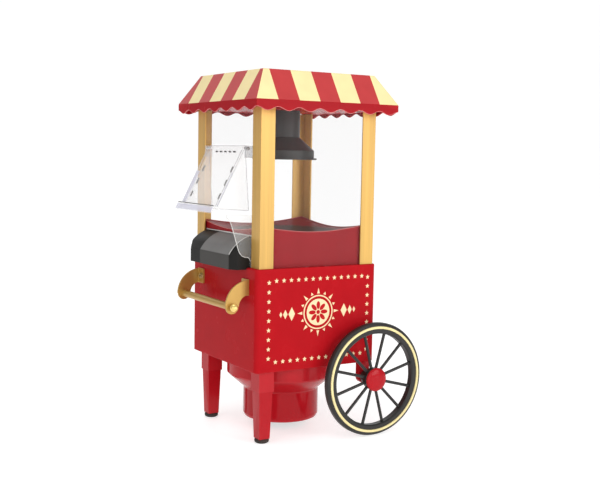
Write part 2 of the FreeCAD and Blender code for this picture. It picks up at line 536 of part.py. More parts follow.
wheel_r = node(wheel(), "wheel_right")
node(mirror(wheel_r), "wheel_left", False)
gr = node(on_axle(turned("XZ_Plane", [(P.wheel_out, P.ring_rad - P.ring_half), (P.wheel_out + P.ring_thick, P.ring_rad - P.ring_half + 0.3),
                                      (P.wheel_out + P.ring_thick, P.ring_rad + P.ring_half - 0.3), (P.wheel_out, P.ring_rad + P.ring_half)], "H_Axis")), "wheel_ring_right")
node(mirror(gr), "wheel_ring_left", False)
xo = P.wheel_out + 0.2
hc = node(on_axle(turned("XZ_Plane", [(xo, P.axle_rad + 1.2), (xo, P.cap_rad - 0.6), (xo + 0.8, P.cap_rad), (xo + P.cap_high * 0.5, P.cap_rad * 0.86), (xo + P.cap_high * 0.8, P.cap_rad * 0.6),
                                      (xo + P.cap_high * 0.96, P.cap_rad * 0.3), (xo + P.cap_high, 0), (P.axle_end + 0.6, 0), (P.axle_end + 0.6, P.axle_rad + 1.2)], "H_Axis")), "hub_cap_right")
node(mirror(hc), "hub_cap_left", False)

# ------------------------------------------------------------------ push handle
yc = -P.cab_hy
xa, xb = P.arm_x - P.arm_thick * 0.5, P.arm_x + P.arm_thick * 0.5
bar_y = yc - P.bar_reach
quarter = common([cut(cyl("x", xa, yc, P.arm_z, P.arm_out, P.arm_thick), [cyl("x", xa - 2.0, yc, P.arm_z, P.arm_inn, P.arm_thick + 4.0)]),
                  box(xa - 1.0, xb + 1.0, yc - 40.0, yc, P.arm_z, P.arm_z + 40.0)])
arm = cut(fuse([quarter, cyl("x", xa, bar_y, P.arm_z, P.lug_rad, P.arm_thick),
                box(xb - P.flange_wide, xb, yc - 1.8, yc, P.arm_z + 11.5, P.arm_z + 28.5)]),
          [cyl("x", xa - 4.0, bar_y, P.arm_z, P.tenon_rad, P.arm_thick + 8.0), cyl("y", P.arm_x - 7.4, yc - 6.0, P.arm_z + 20.0, P.hscrew_rad, 12.0)])
arm_r = node(arm, "handle_arm_right")
node(mirror(arm_r), "handle_arm_left", False)
node(cyl("x", -xa, bar_y, P.arm_z, P.bar_rad, xa * 2.0), "handle_bar")
ball = doc.addObject("Part::Sphere", "ball")
put(ball, "Radius", P.finial_rad)
place(ball, xb + P.finial_rad * 0.9, bar_y, P.arm_z)
fin_r = cut(fuse([ball, cyl("x", xa, bar_y, P.arm_z, P.tenon_rad, P.arm_thick + 2.0)]), [box(xa - 20.0, xa, bar_y - 10.0, bar_y + 10.0, P.arm_z - 10.0, P.arm_z + 10.0)])
node(group([fin_r, mirror(fin_r)]), "handle_finials")
hs = []
for sx in (-1, 1):
    cx = (P.arm_x - 7.4) * sx
    hs.append(fuse([cyl("y", cx, yc - 3.4, P.arm_z + 20.0, P.hscrew_head, 1.6), cyl("y", cx, yc - 1.8, P.arm_z + 20.0, P.hscrew_rad, 9.0)]))
node(group(hs), "handle_screws")

# ------------------------------------------------------------------ chute and guard
cx0 = P.chute_hx
body_out = common([box(-cx0, cx0, P.chute_front, P.chute_rear, P.chute_low, 230.0), cyl("x", -cx0, P.chute_arc_y, P.chute_arc_z, P.chute_arc, cx0 * 2.0)])
cw = P.chute_wall
body_in = common([box(-cx0 + cw, cx0 - cw, P.chute_front + cw, P.chute_rear + 5.0, P.chute_low - 4.0, 230.0),
                  cyl("x", -cx0, P.chute_arc_y, P.chute_arc_z, P.chute_arc - cw, cx0 * 2.0)])
low_cut = box(-cx0 - 4.0, cx0 + 4.0, yc - 0.2, P.chute_rear + 5.0, P.chute_low - 4.0, P.cab_top)
corner = prism("XY_Plane", [(cx0 - P.chute_cham_x, P.chute_front), (cx0 - P.chute_cham_x, P.chute_front - 6.0), (cx0 + 4.0, P.chute_front - 6.0), (cx0 + 4.0, P.chute_front + P.chute_cham_y), (cx0, P.chute_front + P.chute_cham_y)], P.chute_low - 4.0, 50.0)
inner_corner = prism("XY_Plane", [(cx0 - P.chute_cham_x - 2.0, P.chute_front + cw - 0.01), (cx0 - cw + 0.01, P.chute_front + P.chute_cham_y + 1.8), (cx0 - cw + 0.01, P.chute_front + cw - 0.01)], P.chute_low - 6.0, 56.0)
body_in = cut(body_in, [inner_corner, mirror(inner_corner)])
node(cut(body_out, [body_in, low_cut, corner, mirror(corner)]), "outlet_chute")

guard_pts = [(-w1, P.cab_top), (-w1, 247.0), (-102.5, 248.0), (-103.0, 245.0), (-98.6, 241.5), (-96.4, 236.0), (-94.5, 230.0), (-92.6, 224.0), (-90.6, 218.0),
             (-88.8, 212.0), (-86.6, 206.8), (-83.4, 203.6), (-80.0, 202.2), (-76.4, 202.0), (-74.4, 200.6), (-73.6, 198.0), (-73.4, P.cab_top)]
node(prism("YZ_Plane", guard_pts, P.guard_x, P.guard_thick), "chute_guard")

# ------------------------------------------------------------------ door
dt = P.door_thick * 0.5
hw = P.door_hx
plate = box(-hw, hw, -dt, dt, -P.door_len, P.door_top)
wing = prism("YZ_Plane", [(dt, -3.0), (dt, -P.door_len), (3.0, -P.door_len), (P.wing_w, -P.wing_u)], hw - P.door_thick, P.door_thick)
lip = [box(-hw, hw, -P.lip_out, dt, -P.door_len - 1.6, -P.door_len), box(-hw, hw, -P.lip_out - 1.8, -P.lip_out, -P.door_len - P.lip_drop, -P.door_len)]
slots = [box(x - 2.4, x + 2.4, -4.0, 4.0, -5.2, -3.4) for x in (-21.0, -10.5, 0.0, 10.5, 21.0)]
for sx in (-1, 1):
    for su in (22.0, 38.0, 54.0):
        slots.append(box(34.0 * sx - 0.8, 34.0 * sx + 0.8, -4.0, 4.0, -su - 7.0, -su))
ribs = [box(hw - 4.6, hw, -dt - 1.1, -dt, -P.door_len, -3.0), box(-hw, -hw + 4.6, -dt - 1.1, -dt, -P.door_len, -3.0)]
pins = [cyl("x", hw - 3.0, 0, 0, P.pin_rad, 7.6), cyl("x", -hw - 4.6, 0, 0, P.pin_rad, 7.6)]
knuckle = [cyl("x", hw - 5.0, 0, 0, P.pin_rad + 1.2, 5.0), cyl("x", -hw, 0, 0, P.pin_rad + 1.2, 5.0)]
door = cut(fuse([plate, wing, mirror(wing)] + lip + ribs + knuckle), slots + [cyl("x", hw - 3.0, 0, 0, P.pin_rad, 9.0), cyl("x", -hw - 6.0, 0, 0, P.pin_rad, 9.0)])
tilt = FreeCAD.Rotation(V(1, 0, 0), -27.2)
pinset = group(pins)
for o, lab in ((door, "door_visor"), (pinset, "hinge_pins")):
    o.Placement = FreeCAD.Placement(V(0, 0, 0), tilt)
    o.setExpression("Placement.Base.z", P.hinge_z.ex)
    BASE[o.Name] = P.hinge_y
    node(o, lab)

ear = fuse([box(P.clip_in, P.clip_in + 3.6, P.hinge_y - 2.9, -w0 + 1.6, P.clip_low, P.clip_high),
            box(P.clip_in, 62.0, -by, -w0 + 1.6, P.clip_low, P.clip_high),
            box(P.clip_in, c - 0.2, -ay + 0.2, -w0 + 1.6, P.clip_low, P.clip_high)])
clip_r = node(cut(ear, [cyl("x", P.clip_in - 4.0, P.hinge_y, P.hinge_z, P.pin_rad + P.pin_clear, 20.0)]), "hinge_clip_right")
node(mirror(clip_r), "hinge_clip_left", False)

# ------------------------------------------------------------------ switch and cord gland
yr = P.cab_hy
sh = fuse([box(P.sw_x - P.sw_hx, P.sw_x + P.sw_hx, yr - 16.0, yr, P.sw_z - P.sw_hz, P.sw_z + P.sw_hz),
           box(P.sw_x - P.sw_hx - 1.6, P.sw_x + P.sw_hx + 1.6, yr, yr + 1.8, P.sw_z - P.sw_hz - 1.6, P.sw_z + P.sw_hz + 1.6)])
node(cut(sh, [box(P.sw_x - 4.8, P.sw_x + 4.8, yr - 8.0, yr + 6.0, P.sw_z - 7.9, P.sw_z + 7.9),
              cyl("x", P.sw_x - 5.7, yr, P.sw_z, 1.06, 11.4)]), "switch_housing")
rk = prism("YZ_Plane", [(-2.6, -4.0), (-2.6, 4.0), (0.0, 7.0), (2.6, 7.1), (1.6, 0.0), (2.6, -7.1), (0.0, -7.0)], -4.5, 9.0)
rock = fuse([rk, cyl("x", -5.5, 0, 0, 1.0, 11.0)])
rock.Placement = FreeCAD.Placement(V(0, 0, 0), FreeCAD.Rotation(V(1, 0, 0), -7.0))
rock.setExpression("Placement.Base.x", P.sw_x.ex)
rock.setExpression("Placement.Base.z", P.sw_z.ex)
BASE[rock.Name] = yr
node(rock, "switch_rocker")
gland = turned("YZ_Plane", [(-5.0, P.gl_bore), (-5.0, 6.0), (0, 6.0), (0, 8.0), (2.2, 8.0), (2.8, 6.4), (14.0, 4.9), (14.0, P.gl_bore)], "H_Axis")
gland.setExpression("Placement.Base.x", P.gl_x.ex)
gland.setExpression("Placement.Base.z", P.gl_z.ex)
BASE[gland.Name] = yr
node(gland, "cord_gland")

doc.recompute()

bad = []
for o in doc.Objects:
    if "Invalid" in o.State or "Error" in o.State:
        bad.append((o.Name, o.Label, o.State))
for o in NODES:
    s = o.Shape
    if s.isNull() or not s.isValid() or s.Volume <= 0:
        bad.append((o.Label, "shape"))
if bad:
    raise RuntimeError("sub-parts not built: %r" % (bad,))

os.makedirs("parts", exist_ok=True)
for o in NODES:
    o.Shape.exportStep("parts/%s.step" % o.Label)
whole = Part.makeCompound([o.Shape for o in NODES]).BoundBox
print("pieces", len(NODES), "box", [round(v, 2) for v in (whole.XMin, whole.XMax, whole.YMin, whole.YMax, whole.ZMin, whole.ZMax)])
for o in NODES:
    bb = o.Shape.BoundBox
    print("%-22s solids %d  vol %.0f  x %.1f..%.1f y %.1f..%.1f z %.1f..%.1f" % (o.Label, len(o.Shape.Solids), o.Shape.Volume, bb.XMin, bb.XMax, bb.YMin, bb.YMax, bb.ZMin, bb.ZMax))
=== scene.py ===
import bpy, bmesh, math, json
from mathutils import Vector, Matrix


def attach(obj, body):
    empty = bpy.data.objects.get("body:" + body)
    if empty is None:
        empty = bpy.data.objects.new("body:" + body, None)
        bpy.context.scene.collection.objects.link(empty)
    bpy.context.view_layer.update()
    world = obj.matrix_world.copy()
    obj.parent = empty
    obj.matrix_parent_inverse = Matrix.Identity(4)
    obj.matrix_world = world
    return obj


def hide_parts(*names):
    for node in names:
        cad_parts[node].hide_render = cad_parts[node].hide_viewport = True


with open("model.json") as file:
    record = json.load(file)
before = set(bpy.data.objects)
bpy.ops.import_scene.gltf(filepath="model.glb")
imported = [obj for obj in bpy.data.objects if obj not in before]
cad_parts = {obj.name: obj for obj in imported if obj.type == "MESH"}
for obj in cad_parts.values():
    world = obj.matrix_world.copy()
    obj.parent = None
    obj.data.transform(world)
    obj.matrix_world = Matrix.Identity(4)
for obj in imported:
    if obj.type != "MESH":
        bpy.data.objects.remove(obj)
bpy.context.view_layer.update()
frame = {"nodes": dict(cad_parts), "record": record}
N = frame["nodes"]
MM = 0.001
YS = -7.0          # the cabinet's centre line lies this far in front of the frame origin (mm)


# ------------------------------------------------------------------ materials
def material(name, color, rough, metallic=0.0, coat=0.0, coat_rough=0.06, ior=1.5, var=0.05, scale=55.0, rvar=0.06,
             bump=0.05, bump_scale=900.0, stretch=(1.0, 1.0, 1.0), spec=0.5, edge_wear_and_highlight=0.0, edge_wear_and_highlight_color=None, detail=1.5):
    m = bpy.data.materials.new(name)
    m.use_nodes = True
    nt = m.node_tree
    nt.nodes.clear()
    out = nt.nodes.new("ShaderNodeOutputMaterial")
    p = nt.nodes.new("ShaderNodeBsdfPrincipled")
    nt.links.new(p.outputs[0], out.inputs[0])
    p.inputs["Metallic"].default_value = metallic
    p.inputs["IOR"].default_value = ior
    p.inputs["Specular IOR Level"].default_value = spec
    p.inputs["Coat Weight"].default_value = coat
    p.inputs["Coat Roughness"].default_value = coat_rough
    tc = nt.nodes.new("ShaderNodeTexCoord")
    mp = nt.nodes.new("ShaderNodeMapping")
    mp.inputs["Scale"].default_value = stretch
    nt.links.new(tc.outputs["Object"], mp.inputs["Vector"])
    n1 = nt.nodes.new("ShaderNodeTexNoise")
    n1.inputs["Scale"].default_value = scale
    n1.inputs["Detail"].default_value = detail
    nt.links.new(mp.outputs[0], n1.inputs["Vector"])
    ramp = nt.nodes.new("ShaderNodeValToRGB")
    lo = [max(0.0, c * (1.0 - var)) for c in color]
    hi = [min(1.0, c * (1.0 + var)) for c in color]
    ramp.color_ramp.elements[0].position = 0.3
    ramp.color_ramp.elements[0].color = (*lo, 1)
    ramp.color_ramp.elements[1].position = 0.7
    ramp.color_ramp.elements[1].color = (*hi, 1)
    nt.links.new(n1.outputs[0], ramp.inputs[0])
    last = ramp.outputs[0]
    # lighter colour on convex edges (Pointiness): partly edge wear, partly a painted edge highlight
    if edge_wear_and_highlight > 0.0:
        geo = nt.nodes.new("ShaderNodeNewGeometry")
        er = nt.nodes.new("ShaderNodeMapRange")
        er.inputs["From Min"].default_value = 0.52
        er.inputs["From Max"].default_value = 0.60
        er.inputs["To Max"].default_value = edge_wear_and_highlight
        nt.links.new(geo.outputs["Pointiness"], er.inputs["Value"])
        mix = nt.nodes.new("ShaderNodeMixRGB")
        mix.inputs[2].default_value = (*(edge_wear_and_highlight_color or hi), 1)
        nt.links.new(er.outputs[0], mix.inputs[0])
        nt.links.new(last, mix.inputs[1])
        last = mix.outputs[0]
    nt.links.new(last, p.inputs["Base Color"])
    n2 = nt.nodes.new("ShaderNodeTexNoise")
    n2.inputs["Scale"].default_value = bump_scale
    n2.inputs["Detail"].default_value = min(3.0, detail)
    nt.links.new(mp.outputs[0], n2.inputs["Vector"])
    mr = nt.nodes.new("ShaderNodeMapRange")
    mr.inputs["To Min"].default_value = max(0.02, rough - rvar)
    mr.inputs["To Max"].default_value = rough + rvar
    nt.links.new(n1.outputs[0], mr.inputs["Value"])
    nt.links.new(mr.outputs[0], p.inputs["Roughness"])
    b = nt.nodes.new("ShaderNodeBump")
    b.inputs["Strength"].default_value = bump
    b.inputs["Distance"].default_value = 0.0002
    nt.links.new(n2.outputs[0], b.inputs["Height"])
    nt.links.new(b.outputs[0], p.inputs["Normal"])
    return m


def clear(name, tint, face=0.05, edge=0.30, rough=0.14):
    """Clear moulded plastic: nearly invisible face on, with paler grazing edges."""
    m = material(name, tint, rough, ior=1.46, var=0.01, scale=30.0, rvar=0.01, bump=0.003, bump_scale=12.0, spec=0.16)
    nt = m.node_tree
    p = [n for n in nt.nodes if n.type == "BSDF_PRINCIPLED"][0]
    lw = nt.nodes.new("ShaderNodeLayerWeight")
    lw.inputs["Blend"].default_value = 0.35
    mr = nt.nodes.new("ShaderNodeMapRange")
    mr.inputs["To Min"].default_value = face
    mr.inputs["To Max"].default_value = edge
    nt.links.new(lw.outputs["Facing"], mr.inputs["Value"])
    nt.links.new(mr.outputs[0], p.inputs["Alpha"])
    return m


# these reds lighten on convex edges: edge wear and a painted edge highlight
RED = material("red_plastic", (0.405, 0.0068, 0.0115), 0.26, var=0.035, rvar=0.05, bump=0.006, bump_scale=260.0, spec=0.035, edge_wear_and_highlight=0.25, edge_wear_and_highlight_color=(0.60, 0.03, 0.035))
RED_ROOF = material("roof_plastic", (0.335, 0.0075, 0.0125), 0.26, var=0.04, rvar=0.05, bump=0.006, bump_scale=260.0, spec=0.05, edge_wear_and_highlight=0.25, edge_wear_and_highlight_color=(0.60, 0.03, 0.035))
# painted sheen: the slopes and crown are a paler copy of the roof red
RED_SLOPE_SHEEN = material("slope_painted_sheen", (0.475, 0.050, 0.052), 0.24, var=0.04, rvar=0.04, bump=0.006, bump_scale=260.0, spec=0.10)
RED_GLOSS = material("gloss_plastic", (0.395, 0.0065, 0.0120), 0.16, var=0.04, rvar=0.04, bump=0.006, bump_scale=240.0, spec=0.16, edge_wear_and_highlight=0.30, edge_wear_and_highlight_color=(0.60, 0.04, 0.05))


def funnel_material():
    """Red dish with painted shade: dark brown over the middle of the dish, with a noisy edge giving way to red towards
    the rim.
    """
    m = material("funnel_plastic", (0.275, 0.009, 0.013), 0.34, var=0.05, rvar=0.06, bump=0.008, bump_scale=240.0, spec=0.04)
    nt = m.node_tree
    q = [n for n in nt.nodes if n.type == "BSDF_PRINCIPLED"][0]
    tc = [n for n in nt.nodes if n.type == "TEX_COORD"][0]
    base = q.inputs["Base Color"].links[0].from_socket
    mp = nt.nodes.new("ShaderNodeMapping")
    mp.inputs["Location"].default_value = (0.0, -YS * MM, 0.0)
    mp.inputs["Scale"].default_value = (1.0, 1.0, 0.0)
    nt.links.new(tc.outputs["Object"], mp.inputs["Vector"])
    ln = nt.nodes.new("ShaderNodeVectorMath")
    ln.operation = "LENGTH"
    nt.links.new(mp.outputs[0], ln.inputs[0])
    nz = nt.nodes.new("ShaderNodeTexNoise")
    nz.inputs["Scale"].default_value = 160.0
    nz.inputs["Detail"].default_value = 4.0
    nt.links.new(tc.outputs["Object"], nz.inputs["Vector"])
    ad = nt.nodes.new("ShaderNodeMath")
    ad.operation = "MULTIPLY_ADD"
    ad.inputs[1].default_value = 0.010
    nt.links.new(nz.outputs[0], ad.inputs[0])
    nt.links.new(ln.outputs["Value"], ad.inputs[2])
    st = nt.nodes.new("ShaderNodeMapRange")
    st.inputs["From Min"].default_value = 0.0640
    st.inputs["From Max"].default_value = 0.0705
    nt.links.new(ad.outputs[0], st.inputs["Value"])
    # painted shade colour for the middle of the dish
    mix = nt.nodes.new("ShaderNodeMixRGB")
    mix.inputs[1].default_value = (0.085, 0.030, 0.020, 1)
    nt.links.new(st.outputs[0], mix.inputs[0])
    nt.links.new(base, mix.inputs[2])
    nt.links.new(mix.outputs[0], q.inputs["Base Color"])
    return m


RED_FUNNEL = funnel_material()
CREAM = material("cream_print", (0.84, 0.70, 0.36), 0.36, var=0.03, rvar=0.05, bump=0.006, bump_scale=260.0, spec=0.15)
STAR = material("star_print", (0.86, 0.66, 0.40), 0.40, var=0.03, rvar=0.05, bump=0.02, bump_scale=800.0, spec=0.12)
GOLD = material("gold_metal", (0.58, 0.345, 0.085), 0.38, metallic=0.32, var=0.14, scale=34.0, rvar=0.06, bump=0.05, bump_scale=260.0, stretch=(5.0, 5.0, 0.12), detail=5.0)
GOLD_BAR = material("gold_polished", (0.48, 0.29, 0.075), 0.34, metallic=0.55, var=0.04, scale=26.0, rvar=0.02, bump=0.006, bump_scale=240.0, stretch=(0.5, 2.0, 2.0))
# painted highlight: the knobs are a lighter copy of the handle gold
FINIAL = material("gold_knob", (0.80, 0.58, 0.20), 0.20, metallic=0.55, var=0.04, scale=60.0, rvar=0.03, bump=0.006, bump_scale=240.0)
RING = material("ring_gilt", (0.80, 0.68, 0.34), 0.42, metallic=0.35, var=0.06, scale=60.0, rvar=0.06, bump=0.04, bump_scale=500.0)
BLACK = material("black_plastic", (0.036, 0.034, 0.032), 0.46, spec=0.3, var=0.10, rvar=0.06, bump=0.10, bump_scale=1400.0)
WHEEL = material("wheel_plastic", (0.018, 0.017, 0.016), 0.36, var=0.15, rvar=0.06, bump=0.08, bump_scale=1100.0, spec=0.35)
RUBBER = material("rubber", (0.030, 0.020, 0.017), 0.62, var=0.2, rvar=0.1, bump=0.25, bump_scale=1600.0, spec=0.3)
STEEL = material("steel", (0.60, 0.60, 0.60), 0.28, metallic=1.0, var=0.06, scale=70.0, rvar=0.08, bump=0.06, bump_scale=500.0, detail=5.0)
ALU = material("spun_aluminium", (0.78, 0.78, 0.79), 0.30, metallic=1.0, var=0.05, scale=50.0, rvar=0.08, bump=0.12, bump_scale=500.0, stretch=(0.3, 0.3, 8.0), detail=5.0)
MICA = material("mica", (0.50, 0.42, 0.28), 0.45, var=0.2, scale=120.0, rvar=0.1, bump=0.1)
COIL = material("coil_wire", (0.30, 0.28, 0.27), 0.4, metallic=1.0, var=0.2, scale=200.0, bump=0.1)
BOARD = material("circuit_board", (0.05, 0.22, 0.08), 0.4, var=0.2, scale=150.0, bump=0.1)
FUSE = material("ceramic", (0.80, 0.78, 0.74), 0.35, var=0.05, scale=150.0, bump=0.05)
ROCKER = material("rocker_plastic", (0.015, 0.015, 0.015), 0.22, var=0.1, rvar=0.05, bump=0.05)
CLEAR = clear("clear_plastic", (0.52, 0.53, 0.54), 0.010, 0.10)
DOORCLEAR = clear("door_plastic", (0.95, 0.95, 0.95), 0.13, 0.36)
GUARDCLEAR = clear("guard_plastic", (0.78, 0.78, 0.77), 0.09, 0.40)
SMOKE = clear("clip_plastic", (0.46, 0.46, 0.47), 0.34, 0.60)
RIMBAND = clear("rim_plastic", (0.78, 0.78, 0.90), 0.46, 0.62)
EDGE = clear("edge_line", (0.36, 0.36, 0.38), 0.42, 0.62)
# painted highlight: pale lines for light caught on the guard's edge and the chute's crease and top edge
PALE_HIGHLIGHT = clear("painted_pale_highlight", (0.86, 0.85, 0.82), 0.65, 0.85)
# painted shade: near-black for the door slot walls, the line under the door lip and the handle screw crosses
SLOTDARK = material("slot_shadow", (0.030, 0.028, 0.026), 0.55, var=0.15, scale=200.0, bump=0.05)


def chute_material():
    """Satin black chute with painted light and shade: a paler top panel as lit from above, a mid grey front and two
    near black ends as shaded.
    """
    m = material("chute_painted_shading", (0.190, 0.187, 0.183), 0.52, spec=0.14, var=0.05, rvar=0.05, bump=0.06, bump_scale=1300.0)
    nt = m.node_tree
    q = [n for n in nt.nodes if n.type == "BSDF_PRINCIPLED"][0]
    tc = [n for n in nt.nodes if n.type == "TEX_COORD"][0]
    last = q.inputs["Base Color"].links[0].from_socket
    sep = nt.nodes.new("ShaderNodeSeparateXYZ")
    nt.links.new(tc.outputs["Object"], sep.inputs[0])
    # painted light and shade by place: mid grey below z 204.5 mm, near black left of x -22.5 mm and right of x 47 mm,
    # paler top elsewhere
    for axis, lo, hi, painted_tone in (("Z", 0.2040, 0.2050, (0.056, 0.053, 0.050, 1)), ("X", -0.0228, -0.0220, (0.014, 0.0130, 0.012, 1)), ("X", 0.0474, 0.0466, (0.013, 0.0120, 0.011, 1))):
        st = nt.nodes.new("ShaderNodeMapRange")
        st.inputs["From Min"].default_value = lo
        st.inputs["From Max"].default_value = hi
        nt.links.new(sep.outputs[axis], st.inputs["Value"])
        mix = nt.nodes.new("ShaderNodeMixRGB")
        mix.inputs[1].default_value = painted_tone
        nt.links.new(st.outputs[0], mix.inputs[0])
        nt.links.new(last, mix.inputs[2])
        last = mix.outputs[0]
    nt.links.new(last, q.inputs["Base Color"])
    return m


CHUTE = chute_material()

SLOTS = {"red_plastic": RED, "gold_metal": GOLD, "black_plastic": BLACK, "clear_plastic": CLEAR, "rubber": RUBBER, "steel": STEEL,
         "aluminium": ALU, "mica": MICA, "coil_wire": COIL, "board": BOARD, "fuse": FUSE, "rocker_plastic": ROCKER}
for sp in frame["record"]["subparts"]:
    o = N[sp["node"]]
    m = SLOTS[sp["material_slot"]]
    if sp["node"].startswith("wheel_") and "ring" not in sp["node"]:
        m = WHEEL
    if sp["node"] == "door_visor":
        m = DOORCLEAR
    if sp["node"].startswith("chute_guard"):
        m = GUARDCLEAR
    if sp["node"].startswith("hinge_clip"):
        m = SMOKE if sp["node"].endswith("right") else GUARDCLEAR
    if sp["node"] == "outlet_chute":
        m = CHUTE
    if sp["node"] == "popping_funnel":
        m = RED_FUNNEL
    if sp["node"].startswith("wheel_ring"):
        m = RING
    if sp["node"] == "base_drum" or sp["node"].startswith("front_leg") or sp["node"].startswith("axle_bracket") or sp["node"].startswith("hub_cap"):
        m = RED_GLOSS
    if sp["node"].startswith("handle_"):
        m = STEEL if "screw" in sp["node"] else (FINIAL if "finial" in sp["node"] else GOLD_BAR)
    o.data.materials.clear()
    o.data.materials.append(m)


# ------------------------------------------------------------------ softened moulded edges on the carried-over parts
def soften(node, width, seg=3, angle=32.0):
    o = N[node]
    w = o.modifiers.new("weld", "WELD")
    w.merge_threshold = 2e-6
    b = o.modifiers.new("edge", "BEVEL")
    b.width = width * MM
    b.segments = seg
    b.limit_method = "ANGLE"
    b.angle_limit = math.radians(angle)
    b.harden_normals = True
    b.use_clamp_overlap = True


for nm, wd in (("popping_funnel", 0.7), ("outlet_chute", 0.7), ("rear_panel", 0.4), ("front_leg_right", 0.8), ("front_leg_left", 0.8),
               ("axle_bracket_right", 0.7), ("axle_bracket_left", 0.7), ("post_front_right", 0.3), ("post_front_left", 0.3),
               ("post_rear_right", 0.3), ("post_rear_left", 0.3), ("window_right", 0.2), ("window_left", 0.2), ("window_rear", 0.2),
               ("front_transom", 0.2), ("door_visor", 0.25), ("handle_arm_right", 0.4), ("handle_arm_left", 0.4), ("hinge_clip_right", 0.4),
               ("hinge_clip_left", 0.4), ("switch_housing", 0.4), ("switch_rocker", 0.4), ("chute_guard", 0.2)):
    soften(nm, wd, seg=2)


# ------------------------------------------------------------------ mesh helpers (millimetres, cabinet axis at x = y = 0)
def mesh_object(name, verts, faces, mats, index=None, smooth=False, body="cart"):
    me = bpy.data.meshes.new(name)
    me.from_pydata([(x * MM, (y + YS) * MM, z * MM) for x, y, z in verts], [], faces)
    for m in mats:
        me.materials.append(m)
    bm = bmesh.new()
    bm.from_mesh(me)
    bmesh.ops.remove_doubles(bm, verts=bm.verts, dist=1e-7)
    bmesh.ops.recalc_face_normals(bm, faces=bm.faces)
    bm.to_mesh(me)
    bm.free()
    if index is not None and len(index) == len(me.polygons):
        for p, i in zip(me.polygons, index):
            p.material_index = i
    if smooth:
        for p in me.polygons:
            p.use_smooth = True
    o = bpy.data.objects.new(name, me)
    bpy.context.scene.collection.objects.link(o)
    return o


# ------------------------------------------------------------------ striped canopy
EX, EY, EZ, CX, CY, CZ = 94.0, 89.3, 367.6, 73.4, 70.6, 400.0
LOW, HIGH = 356.5, 360.3


def canopy():
    verts, faces, idx = [], [], []
    key = {}

    def v(x, y, z):
        k = (round(x, 4), round(y, 4), round(z, 4))
        if k not in key:
            key[k] = len(verts)
            verts.append((x, y, z))
        return key[k]

    def put(pts, i):
        f = []
        for p in pts:
            j = v(*p)
            if j not in f:
                f.append(j)
        faces.append(f)
        idx.append(i)

    def side(eave_half, crown_half, at_e, at_c, first, make):
        """One sloping side and the skirt below it. make(s, d, z) places a point s along and d out."""
        pitch = 2.0 * eave_half / 7.0
        cuts = [-eave_half + pitch * k for k in range(8)]
        for k in range(7):
            a, b = cuts[k], cuts[k + 1]
            ca = -crown_half if k == 0 else a
            cb = crown_half if k == 6 else b
            put([make(a, at_e, EZ), make(b, at_e, EZ), make(cb, at_c, CZ), make(ca, at_c, CZ)], (k + first) % 2)
            low = []
            for j in range(17):
                s = a + (b - a) * j / 16.0
                z = 0.5 * (LOW + HIGH) - 0.5 * (HIGH - LOW) * math.cos(2.0 * math.pi * s / pitch)
                low.append(make(s, at_e, z))
            put([make(b, at_e, EZ), make(a, at_e, EZ)] + low, 2)

    # index 0 red slope and crown, painted paler for sheen, 1 cream, 2 red skirt
    side(EY, CY, EX, CX, 1, lambda s, d, z: (d, s, z))
    side(EY, CY, EX, CX, 1, lambda s, d, z: (-d, s, z))
    side(EX, CX, EY, CY, 0, lambda s, d, z: (s, -d, z))
    side(EX, CX, EY, CY, 0, lambda s, d, z: (s, d, z))
    ring = []
    py, px = 2.0 * EY / 7.0, 2.0 * EX / 7.0
    ys = [-CY] + [-EY + py * k for k in range(1, 7)] + [CY]
    xs = [-CX] + [-EX + px * k for k in range(1, 7)] + [CX]
    ring += [(CX, y, CZ) for y in ys]
    ring += [(x, CY, CZ) for x in reversed(xs)]
    ring += [(-CX, y, CZ) for y in reversed(ys)]
    ring += [(x, -CY, CZ) for x in xs]
    put(ring, 0)
    return verts, faces, idx


cv, cf, ci = canopy()
roof = mesh_object("roof_striped", cv, cf, [RED_SLOPE_SHEEN, CREAM, RED_ROOF], ci)
sol = roof.modifiers.new("wall", "SOLIDIFY")
sol.thickness = 2.0 * MM
sol.offset = -1.0
bv = roof.modifiers.new("edge", "BEVEL")
bv.width = 1.1 * MM
bv.segments = 3
bv.limit_method = "ANGLE"
bv.angle_limit = math.radians(25)
bv.harden_normals = True
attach(roof, "cart")
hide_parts("roof_canopy")
# painted highlight: pale pink for light caught on the funnel's top edge and along the roof scallops
PINK_HIGHLIGHT = material("painted_pink_highlight", (0.60, 0.150, 0.140), 0.28, var=0.04, rvar=0.05, bump=0.02, bump_scale=600.0, spec=0.30)


# ------------------------------------------------------------------ printed ornament on the two side faces
def slab(verts, faces, poly, side, lift):
    """A thin raised print: poly is a list of (y, z) on the side face at x = side * 77.3."""
    n = len(poly)
    a = len(verts)
    for y, z in poly:
        verts.append((side * (77.3 - 0.05), y, z))
    for y, z in poly:
        verts.append((side * (77.3 + lift), y, z))
    faces.append(list(range(a + n, a + 2 * n)))
    faces.append(list(range(a + n - 1, a - 1, -1)))
    for i in range(n):
        j = (i + 1) % n
        faces.append([a + i, a + j, a + n + j, a + n + i])


def star(cy, cz, r, turn=0.0):
    return [((cy + (r if i % 2 == 0 else 0.46 * r) * math.sin(math.pi * i / 5.0 + turn)),
             (cz + (r if i % 2 == 0 else 0.46 * r) * math.cos(math.pi * i / 5.0 + turn))) for i in range(10)]


